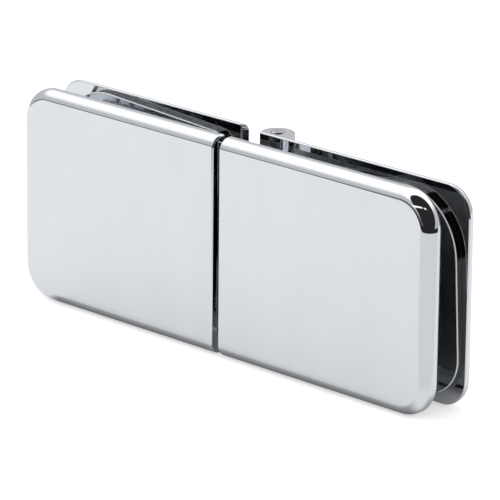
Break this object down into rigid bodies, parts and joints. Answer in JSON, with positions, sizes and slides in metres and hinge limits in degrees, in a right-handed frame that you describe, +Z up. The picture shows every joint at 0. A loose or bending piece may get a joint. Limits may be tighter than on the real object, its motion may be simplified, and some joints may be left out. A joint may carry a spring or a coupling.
{
  "type": "hinged glass clamp",
  "caption": "Polished chrome glass clamp: crowned covers and hinge leaves grip glass panes edge to edge, joined by a barrel hinge behind so the panes can fold.",
  "frame": {"origin": "middle of the bounding box, on the plane of the covers' bottom edges", "axes": "+X along the clamp towards the right half, +Y from the covers towards the hinge barrel, +Z up along the hinge pin"},
  "size_m": [0.1124, 0.0208, 0.045],
  "materials": {
    "chrome": "mirror-polished chrome plate",
    "clear_gasket": "clear soft vinyl sheet",
    "smoke_gasket": "faintly smoke-tinted soft vinyl sheet",
    "dark_nylon": "black moulded nylon",
    "nylon": "natural white nylon",
    "steel": "turned stainless steel"
  },
  "bodies": {
    "right_half": {"cover_right": "chrome", "leaf_right": "chrome", "cover_gasket_right": "smoke_gasket", "leaf_gasket_right": "clear_gasket", "sleeve_right_upper": "dark_nylon", "sleeve_right_lower": "dark_nylon", "screw_right_upper": "steel", "screw_right_lower": "steel", "hinge_pin": "steel"},
    "left_half": {"cover_left": "chrome", "leaf_left": "chrome", "cover_gasket_left": "smoke_gasket", "leaf_gasket_left": "clear_gasket", "sleeve_left_upper": "dark_nylon", "sleeve_left_lower": "dark_nylon", "screw_left_upper": "steel", "screw_left_lower": "steel", "knuckle_bush_upper": "nylon", "knuckle_bush_lower": "nylon"}
  },
  "joints": [
    {"name": "fold", "type": "hinge", "parent": "right_half", "child": "left_half", "pos_m": [0, 0.00695, 0.0221], "axis": [0, 0, -1], "range_deg": [0, 180]}
  ]
}
